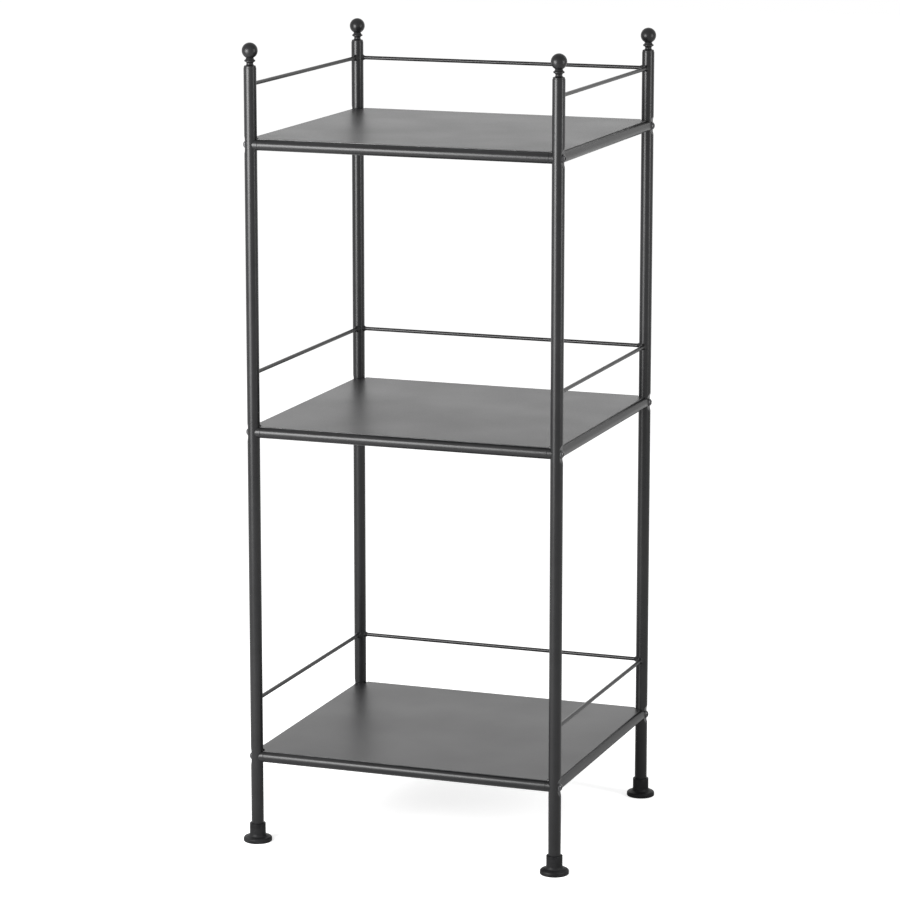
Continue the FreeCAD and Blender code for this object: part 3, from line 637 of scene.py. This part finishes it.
class SHELF_OT_finials(bpy.types.Operator):
    """Make the four ball finials"""
    bl_idname = "shelf.finials"
    bl_label = "Finials"

    def execute(self, context):
        sizes = context.scene.shelf_finials
        posts = context.scene.shelf_posts
        foot, neck, bead = sizes.foot / 2, sizes.neck / 2, sizes.bead / 2
        throat, ball = sizes.throat / 2, sizes.ball / 2
        plug = posts.diameter / 2 - posts.wall - sizes.plug_gap
        height, half, top = sizes.bead_height, sizes.bead_half, sizes.ball_height
        outline = profile_of(
            (0, -sizes.plug), (plug - sizes.plug_bevel, -sizes.plug),
            (plug, -sizes.plug + sizes.plug_bevel), (plug, 0),
            (foot, 0), (foot, sizes.foot_edge),
            (foot - sizes.foot_round, sizes.foot_edge + sizes.foot_round, sizes.foot_round, 1, 6),
            (neck, sizes.neck_height, sizes.neck_sweep, -1, 6),
            (bead - half, height - half, sizes.neck_sweep, -1, 6),
            (bead, height, half, 1, 6), (bead - half, height + half, half, 1, 6),
            (throat, top - cope(ball, throat)), (ball, top, ball, 1, 14),
            (0, top + ball, ball, 1, 14))
        for corner, _, _ in CORNERS:
            rings = turned(outline, 72)
            rings[..., :2] += post_axis(corner)
            rings[..., 2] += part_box(corner + "_post")[1][2]
            make_piece("ball_finial_" + corner, [shell(rings, FINIAL_WEAR * wear_of(outline))],
                       "moulded_plastic", [corner + "_finial"])
        return {"FINISHED"}


class SHELF_OT_feet(bpy.types.Operator):
    """Make the four levelling feet, and finish their studs and inserts"""
    bl_idname = "shelf.feet"
    bl_label = "Feet"

    def execute(self, context):
        sizes = context.scene.shelf_feet
        flange, bevel, sleeve = sizes.flange / 2, sizes.bevel, sizes.sleeve / 2
        bore, hole = sizes.bore / 2, sizes.stud / 2
        outline = profile_of(
            (0, 0), (flange - bevel, 0), (flange, bevel), (flange, sizes.edge_top),
            (flange - sizes.shoulder_in, sizes.shoulder, sizes.shoulder_in, 1, 8),
            (sizes.root / 2, sizes.root_height, sizes.root_sweep, -1, 5),
            (sleeve, sizes.waist, sizes.sleeve_sweep, -1, 6), (sleeve, sizes.height - bevel),
            (sleeve - bevel, sizes.height, bevel, 1, 4),
            (bore, sizes.height), (bore, sizes.socket_floor), (hole, sizes.socket_floor),
            (hole, sizes.stud_foot), (0, sizes.stud_foot))
        for corner, _, _ in CORNERS:
            rings = turned(outline, 96)
            rings[..., :2] += post_axis(corner)
            make_piece("levelling_foot_" + corner, [shell(rings, FOOT_WEAR * wear_of(outline))],
                       "foot_plastic", [corner + "_foot"], corner + "_leveller")
            for node in (corner + "_foot_stud", corner + "_foot_insert"):
                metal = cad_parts[node]
                metal.data.materials.clear()
                metal.data.materials.append(bpy.data.materials["zinc_plating"])
        return {"FINISHED"}


class SHELF_OT_cross_tubes(bpy.types.Operator):
    """Make the front and back tubes and the saddles in their ends"""
    bl_idname = "shelf.cross_tubes"
    bl_label = "Front and back tubes"

    @staticmethod
    def tube_rings(half, sizes):
        """Rings of a straight tube: along its skin, round one end, back along its bore."""
        radius, edge = sizes.diameter / 2, sizes.edge
        bore = radius - sizes.wall
        outline = profile_of(
            (radius, -half + edge), (radius, -half + 2 * edge), (radius, 0),
            (radius, half - 2 * edge), (radius, half - edge), (radius - edge, half, edge, 1, 3),
            (bore, half), (bore, 0), (bore, -half), (radius - edge, -half),
            (radius, -half + edge, edge, 1, 3))[:-1]
        return along(turned(outline, 64), "x"), wear_of(outline)

    @staticmethod
    def saddle_rings(side_x, side_y, posts, sizes, count=96):
        """Rings of one saddle about the tube's axis, measured from the post's axis.

        The end towards the post starts at the post's skin or, on the inner side, at the side tube
        that passes there; the rest are straight steps: collar, spigot and threaded hole.
        """
        radius, edge, fit = sizes.diameter / 2, sizes.edge, sizes.fit
        spigot = radius - sizes.wall - fit
        hole = sizes.bolt_diameter / 2 + fit
        collar, tip = sizes.saddle_end, sizes.saddle_end + sizes.spigot
        # Ring radius, shift along the tube, and the ring's own place or 0 for the coped end
        steps = np.array([(hole, 0, 0), (radius - edge, 0, 0), (radius, edge, 0),
                          (radius, 2 * edge, 0), (radius, -2 * edge, collar),
                          (radius, -edge, collar), (radius - edge, 0, collar), (spigot, 0, collar),
                          (spigot, -edge, tip), (spigot - edge, 0, tip), (hole, 0, tip)])
        turn = ring_angles(count)
        ring_radius, shift, end = np.hsplit(steps, 3)
        across, rise = ring_radius * np.cos(turn), ring_radius * np.sin(turn)
        start = cope(posts.diameter / 2, across)
        beside = cope(radius + sizes.relief, rise)
        start = np.where(across * -side_y > 0, np.maximum(start, beside), start)
        reach = np.where(end > 0, end, start) + shift
        rings = np.stack([-side_x * reach, across, rise], -1)
        if side_x > 0:
            rings = rings[:, ::-1]
        return rings, np.array([0, 0.4, 0.4, 0.2, 0.2, 0.4, 0.4, 0, 0, 0, 0])

    def execute(self, context):
        sizes, posts = context.scene.shelf_tubes, context.scene.shelf_posts
        for level in LEVELS:
            height = tube_height(level)
            for end, side_y in (("front", -1), ("back", 1)):
                node = "%s_%s_tube" % (level, end)
                low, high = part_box(node)
                rings, wear = self.tube_rings((high[0] - low[0]) / 2, sizes)
                rings = rings + middle(node)
                make_piece("round_tube_%s_%s" % (level, end), [shell(rings, wear, loop=True)],
                           "powder_coat", [node])
                shells = []
                for side_x in (-1, 1):
                    corner = "%s_%s" % (end, "right" if side_x > 0 else "left")
                    rings, wear = self.saddle_rings(side_x, side_y, posts, sizes)
                    rings = rings + np.array([*post_axis(corner), height])
                    shells.append(shell(rings, wear, loop=True))
                make_piece("tube_saddles_%s_%s" % (level, end), shells, "powder_coat",
                           ["%s_%s_saddles" % (level, end)])
        return {"FINISHED"}


class SHELF_OT_side_tubes(bpy.types.Operator):
    """Make the side tubes, coped round the posts"""
    bl_idname = "shelf.side_tubes"
    bl_label = "Side tubes"

    @staticmethod
    def rings(side, span, posts, sizes, count=96):
        """Rings of a side tube about its own axis.

        Each point round the tube ends at the post's skin; on the outer side it ends at the room
        round the bolt head instead, where that is further from the post's axis.
        """
        radius, edge = sizes.diameter / 2, sizes.edge
        bore, bend = radius - sizes.wall, 0.3 * edge
        face = posts.diameter / 2 - posts.press_depth
        room = sizes.head_diameter / 2 + sizes.head_room
        # Ring radius, inset from the coped end, and the end's side; bend is halfway round its edge
        steps = np.array([(radius, edge, -1), (radius, 2 * edge, -1), (radius, sizes.straight, -1),
                          (radius, sizes.straight, 1), (radius, 2 * edge, 1), (radius, edge, 1),
                          (radius - bend, bend, 1), (radius - edge, 0, 1), (bore, 0, 1),
                          (bore, 0, -1), (radius - edge, 0, -1), (radius - bend, bend, -1)])
        turn = ring_angles(count)
        ring_radius, inset, end = np.hsplit(steps, 3)
        rise, across = ring_radius * np.cos(turn), ring_radius * np.sin(turn)
        start = cope(posts.diameter / 2, across)
        notch = np.where(side * across > face, cope(room, rise), 0.0)
        reach = end * (span / 2 - np.maximum(start, notch) - inset)
        wear = np.array([1, 0, 0, 0, 0, 1, 1, 1, 0, 0, 1, 1])
        return np.stack([across, reach, rise], -1), wear

    def execute(self, context):
        sizes, posts = context.scene.shelf_tubes, context.scene.shelf_posts
        for level in LEVELS:
            for name, side in (("left", -1), ("right", 1)):
                front, back = post_axis("front_" + name), post_axis("back_" + name)
                rings, wear = self.rings(side, back[1] - front[1], posts, sizes)
                rings = rings + np.array([*((front + back) / 2), tube_height(level)])
                make_piece("coped_tube_%s_%s" % (level, name), [shell(rings, wear, loop=True)],
                           "powder_coat", ["%s_%s_side_tube" % (level, name)])
        return {"FINISHED"}


class SHELF_OT_rails(bpy.types.Operator):
    """Make the gallery rails with their flared ends"""
    bl_idname = "shelf.rails"
    bl_label = "Rails"

    @staticmethod
    def rings(span, sideways, posts, sizes, count=48):
        """Rings of a rail about its own axis, from post axis to post axis.

        A pin, the flare's foot on the post's skin, a hollow flare down to the rod, and the same
        again at the far end. The flare's foot follows the post's circle and evens out along it.
        sideways says whether the ring's first or second direction is the level one.
        """
        radius, collar, pin = sizes.diameter / 2, sizes.collar / 2, sizes.pin / 2
        skin = posts.diameter / 2
        flare = arc_points((collar, skin), (radius, skin + sizes.collar_length),
                           sizes.collar_sweep, -1, 8)
        turn = ring_angles(count)
        level = np.cos(turn) if sideways == 0 else np.sin(turn)
        fade = np.linspace(1.0, 0.0, len(flare)) ** 2
        half = [(0, sizes.pin_end, 0), (pin, sizes.pin_end, 0), (pin, skin, 1)]
        half = np.array(half + [(r, s, f) for (r, s), f in zip(flare.tolist(), fade.tolist())])
        ring_radius, spot, follow = np.hsplit(half, 3)
        start = spot - follow * (skin - cope(skin, ring_radius * level))
        distance = np.vstack([start, span - start[::-1]])
        reach = np.vstack([ring_radius, ring_radius[::-1]])
        worn = FLARE_WEAR * (follow[:, 0] > 0.6)
        return polar(reach, turn, distance), np.concatenate([worn, worn[::-1]])

    def execute(self, context):
        sizes, posts = context.scene.shelf_rails, context.scene.shelf_posts
        for level in LEVELS:
            for name, first, second, axis in (("left", "front_left", "back_left", "y"),
                                              ("right", "front_right", "back_right", "y"),
                                              ("back", "back_left", "back_right", "x")):
                node = "%s_%s_rail" % (level, name)
                start, end = post_axis(first), post_axis(second)
                span = float(np.abs(end - start).max())
                rings, wear = self.rings(span, 0 if axis == "x" else 1, posts, sizes)
                rings = along(rings, axis) + np.array([*start, middle(node)[2]])
                make_piece("gallery_rail_%s_%s" % (level, name), [shell(rings, wear)],
                           "powder_coat", [node])
        return {"FINISHED"}


class SHELF_OT_bolts(bpy.types.Operator):
    """Make the dome-headed bolts with their hexagon sockets"""
    bl_idname = "shelf.bolts"
    bl_label = "Bolts"

    @staticmethod
    def rings(sizes, turn_by, count=60):
        """Rings of a bolt about its axis, from its tip to the floor of its socket.

        The rings inside the head are hexagons: their radius is the flat's distance over the cosine
        of the angle from the flat's middle. The socket's lip is a ring between hexagon and circle.
        """
        shank, head = sizes.bolt_diameter / 2, sizes.head_diameter / 2
        crown, corner = sizes.crown_diameter / 2, sizes.socket_corners / 2
        rise, rim, edge, lip = sizes.head_rise, sizes.head_rim, sizes.head_edge, sizes.socket_lip
        dome = (head ** 2 + rise ** 2) / (2 * rise) + rim
        outline = profile_of(
            (0, -sizes.bolt_length), (shank - sizes.bolt_bevel, -sizes.bolt_length),
            (shank, -sizes.bolt_length + sizes.bolt_bevel), (shank, 0), (head - edge, 0),
            (head, edge), (head, rim), (crown, rise - edge / 2, dome, 1, 8), (crown - edge, rise))
        turn = ring_angles(count)
        flat = corner * math.cos(math.pi / 6)
        hexagon = flat / np.cos((turn + turn_by) % (math.pi / 3) - math.pi / 6)
        round_rings = turned(outline, count)
        levels = ((hexagon + lip, rise), (hexagon, rise - lip),
                  (hexagon, rise - sizes.socket_depth), (hexagon * 0, rise - sizes.socket_depth))
        inner = [polar(distance, turn, height) for distance, height in levels]
        wear = np.concatenate([wear_of(outline), [1.0, 1.0, 0.2, 0.0]])
        return np.concatenate([round_rings, inner]), wear

    def execute(self, context):
        sizes, posts = context.scene.shelf_tubes, context.scene.shelf_posts
        seat = posts.diameter / 2 - posts.press_depth
        draws = np.random.default_rng(TURN_SEED)
        turns = draws.uniform(0.0, FULL_TURN, (len(LEVELS), len(CORNERS)))
        for level, level_turns in zip(LEVELS, turns):
            shells = []
            for (corner, side, _), turn_by in zip(CORNERS, level_turns):
                rings, wear = self.rings(sizes, turn_by)
                rings = along(rings, "x") + np.array([seat, 0.0, 0.0])
                rings = rings * np.array([side, side, 1.0])
                place = np.array([*post_axis(corner), tube_height(level)])
                shells.append(shell(rings + place, wear))
            make_piece("dome_bolts_" + level, shells, "black_oxide", [level + "_bolts"])
        return {"FINISHED"}


class SHELF_OT_plates(bpy.types.Operator):
    """Make the shelf plates with their notched corners"""
    bl_idname = "shelf.plates"
    bl_label = "Plates"

    @staticmethod
    def outline(high, sizes):
        """Outline of a plate with a round notch about each post axis, anticlockwise.

        Each notch is an arc about the post's axis between the two plate edges; each edge is
        straight between two notches.
        """
        points, reach = [], np.array(high[:2])
        for quarter, corner in enumerate(("front_left", "front_right", "back_right", "back_left")):
            axis = post_axis(corner)
            over = reach - np.abs(axis)
            along_x = math.asin(over[1] / sizes.notch)
            along_y = math.asin(over[0] / sizes.notch)
            first = math.pi / 2 * (quarter + 1) + (along_y if quarter % 2 == 0 else along_x)
            last = math.pi / 2 * quarter - (along_x if quarter % 2 == 0 else along_y)
            sweep = np.linspace(first, last, 25)
            points.append(axis + sizes.notch * np.stack([np.cos(sweep), np.sin(sweep)], -1))
        rows = []
        for number, notch in enumerate(points):
            after = points[(number + 1) % 4][0]
            steps = np.linspace(0.0, 1.0, 41)[1:-1, None]
            rows += [notch, notch[-1] + (after - notch[-1]) * steps]
        return np.vstack(rows)

    @staticmethod
    def inward(line):
        """Unit direction into the plate at each outline point, from the mean of both edges."""
        ahead = np.roll(line, -1, axis=0) - line
        ahead = ahead / np.hypot(*ahead.T)[:, None]
        mean = ahead + np.roll(ahead, 1, axis=0)
        mean = mean / np.hypot(*mean.T)[:, None]
        return np.stack([-mean[:, 1], mean[:, 0]], -1)

    def execute(self, context):
        sizes = context.scene.shelf_plates
        edge, sheet = sizes.edge, sizes.thickness
        for level in LEVELS:
            node = level + "_shelf_plate"
            low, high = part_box(node)
            line = self.outline(high, sizes)
            inset = self.inward(line)
            # Inset and height of the rings round the edge, from the underside to the top
            lip = profile_of((sizes.rim, 0), (sizes.under_edge, 0), (0, sizes.under_edge),
                             (0, sheet - edge), (edge, sheet, edge, -1, 5), (sizes.rim, sheet))
            edge_rings = [np.column_stack([line + inset * step, np.full(len(line), low[2] + rise)])
                          for step, rise in lip]
            shares = np.array([0.0, 0.06, 0.25, 0.5, 0.75, 0.97])[:, None, None]
            centre = (np.array(low) + np.array(high)) / 2
            below, over = np.array([*centre[:2], low[2]]), np.array([*centre[:2], high[2]])
            under = below + (edge_rings[0] - below) * shares
            above = over + (edge_rings[-1] - over) * shares[::-1]
            rings = np.concatenate([under, edge_rings, above])
            wear = np.zeros(len(rings))
            wear[len(under) + 1:-len(above) - 1] = PLATE_WEAR
            make_piece("notched_plate_" + level, [shell(rings, wear)], "plate_coat", [node])
        return {"FINISHED"}


# Studio

def aim(thing, azimuth, elevation, distance, height, slides=(0.0, 0.0)):
    """Turn a camera or lamp to the shelf's axis at a height, and put it in its place.

    Its place is that point, plus the distance straight back, plus slides to its right and up.
    """
    level = math.cos(elevation)
    back = np.array([math.sin(azimuth) * level, -math.cos(azimuth) * level, math.sin(elevation)])
    right = np.array([math.cos(azimuth), math.sin(azimuth), 0.0])
    up = np.cross(back, right)
    place = np.array([0.0, 0.0, height]) + right * slides[0] + up * slides[1] + back * distance
    turn = np.eye(4)
    turn[:3] = np.stack([right, up, back, place], -1)
    thing.matrix_world = Matrix(turn.tolist())


def add_lamp(name, azimuth, distance, rise, width, height, power):
    """An upright soft rectangular lamp that faces the shelf, in degrees round from its front."""
    data = bpy.data.lights.new(name, "AREA")
    data.shape, data.size, data.size_y, data.energy = "RECTANGLE", width, height, power
    lamp = add_object(name, data)
    lamp.visible_camera = False
    aim(lamp, math.radians(azimuth), 0.0, distance, rise)


class SHELF_OT_studio(bpy.types.Operator):
    """Make the camera, the lamps, the pale floor and the white backdrop"""
    bl_idname = "shelf.studio"
    bl_label = "Studio"

    @staticmethod
    def camera(look):
        """The scene's camera, aimed at the shelf's axis and slid to frame the shelf."""
        data = bpy.data.cameras.new("camera")
        data.lens, data.sensor_width = look.lens, SENSOR
        data.clip_start, data.clip_end = CLIP
        made = add_object("camera", data)
        aim(made, look.azimuth, look.elevation, look.distance, look.aim_height,
            (look.slide_right, look.slide_up))
        bpy.context.scene.camera = made

    @staticmethod
    def floor(look):
        """A pale floor that keeps the shelf's soft shadow, and is otherwise white to the camera.

        In reflections it is dimmer close to the shelf, a painted shade under the shelf: the glow
        grows with the distance from it.
        """
        half = look.floor_half
        mesh = bpy.data.meshes.new("floor")
        corners = [(-half, -half, 0), (half, -half, 0), (half, half, 0), (-half, half, 0)]
        mesh.from_pydata(corners, [], [(0, 1, 2, 3)])
        ground = add_object("floor", mesh)
        ground.location.z = -look.floor_drop
        finish = Finish("pale_floor")
        away = finish.node("VectorMath", {0: finish.place}, operation="LENGTH")
        # Painted shade: reflections see less glow near the shelf, as if the floor under it were
        # shaded
        far = finish.spread(away.outputs["Value"], look.near, look.far, look.painted_shade_glow, 1.0)
        grain = finish.spread(finish.noise(*FLOOR_NOISE), *FLOOR_GRAIN)
        shade = darker(look.floor, FLOOR_SHADE)
        finish.join("Base Color", finish.blend(grain, shade, tuple(look.floor)))
        finish.join("Roughness", FLOOR_ROUGHNESS)
        finish.join("Specular IOR Level", 0.0)
        strength = finish.times(finish.seen(far), look.floor_glow)
        glow = finish.node("Emission", {"Strength": strength})
        total = finish.node("AddShader", {0: finish.shader.outputs[0], 1: glow.outputs[0]})
        finish.put(finish.own("OUTPUT_MATERIAL").inputs["Surface"], total.outputs[0])
        mesh.materials.append(finish.material)

    @staticmethod
    def sky(look):
        """White where the camera, gloss or glass looks past the floor, mid grey as light."""
        world = bpy.data.worlds.new("studio")
        bpy.context.scene.world = world
        nodes = Nodes(world)
        strength = nodes.spread(nodes.seen(), 0.0, 1.0, look.room, look.backdrop)
        background = nodes.own("BACKGROUND")
        nodes.put(background.inputs["Strength"], strength)
        nodes.put(background.inputs["Color"], (1.0, 1.0, 1.0, 1.0))

    def execute(self, context):
        look = context.scene.shelf_studio
        self.camera(look)
        self.floor(look)
        self.sky(look)
        for lamp in LAMPS:
            add_lamp(*lamp)
        context.scene.view_settings.view_transform = "Standard"
        return {"FINISHED"}


class SHELF_PT_make(bpy.types.Panel):
    """Lists the shelf's pieces and sizes"""
    bl_idname = "SHELF_PT_make"
    bl_label = "Standing shelf"
    bl_space_type = "VIEW_3D"
    bl_region_type = "UI"
    bl_category = "Shelf"

    def draw(self, context):
        column = self.layout.column(align=True)
        for operator in OPERATORS:
            column.operator(operator.bl_idname)
        for name, group in GROUPS:
            box = self.layout.box()
            box.label(text=group.__doc__)
            for key in group.__annotations__:
                box.prop(getattr(context.scene, name), key)


GROUPS = (("shelf_posts", PostSizes), ("shelf_tubes", TubeSizes), ("shelf_rails", RailSizes),
          ("shelf_plates", PlateSizes), ("shelf_finials", FinialSizes), ("shelf_feet", FootSizes),
          ("shelf_finishes", Finishes), ("shelf_studio", StudioLook))
OPERATORS = (SHELF_OT_finishes, SHELF_OT_posts, SHELF_OT_finials, SHELF_OT_feet,
             SHELF_OT_cross_tubes, SHELF_OT_side_tubes, SHELF_OT_rails, SHELF_OT_bolts,
             SHELF_OT_plates, SHELF_OT_studio)


def register():
    """Register the sizes, the operators and the panel."""
    for name, group in GROUPS:
        bpy.utils.register_class(group)
        setattr(bpy.types.Scene, name, bpy.props.PointerProperty(type=group))
    for operator in OPERATORS:
        bpy.utils.register_class(operator)
    bpy.utils.register_class(SHELF_PT_make)


def unregister():
    """Take back what register did, in reverse."""
    bpy.utils.unregister_class(SHELF_PT_make)
    for operator in reversed(OPERATORS):
        bpy.utils.unregister_class(operator)
    for name, group in reversed(GROUPS):
        delattr(bpy.types.Scene, name)
        bpy.utils.unregister_class(group)


def main():
    """Make every piece and the studio."""
    register()
    bpy.ops.shelf.finishes()
    bpy.ops.shelf.posts()
    bpy.ops.shelf.finials()
    bpy.ops.shelf.feet()
    bpy.ops.shelf.cross_tubes()
    bpy.ops.shelf.side_tubes()
    bpy.ops.shelf.rails()
    bpy.ops.shelf.bolts()
    bpy.ops.shelf.plates()
    bpy.ops.shelf.studio()


if __name__ == "__main__":
    main()
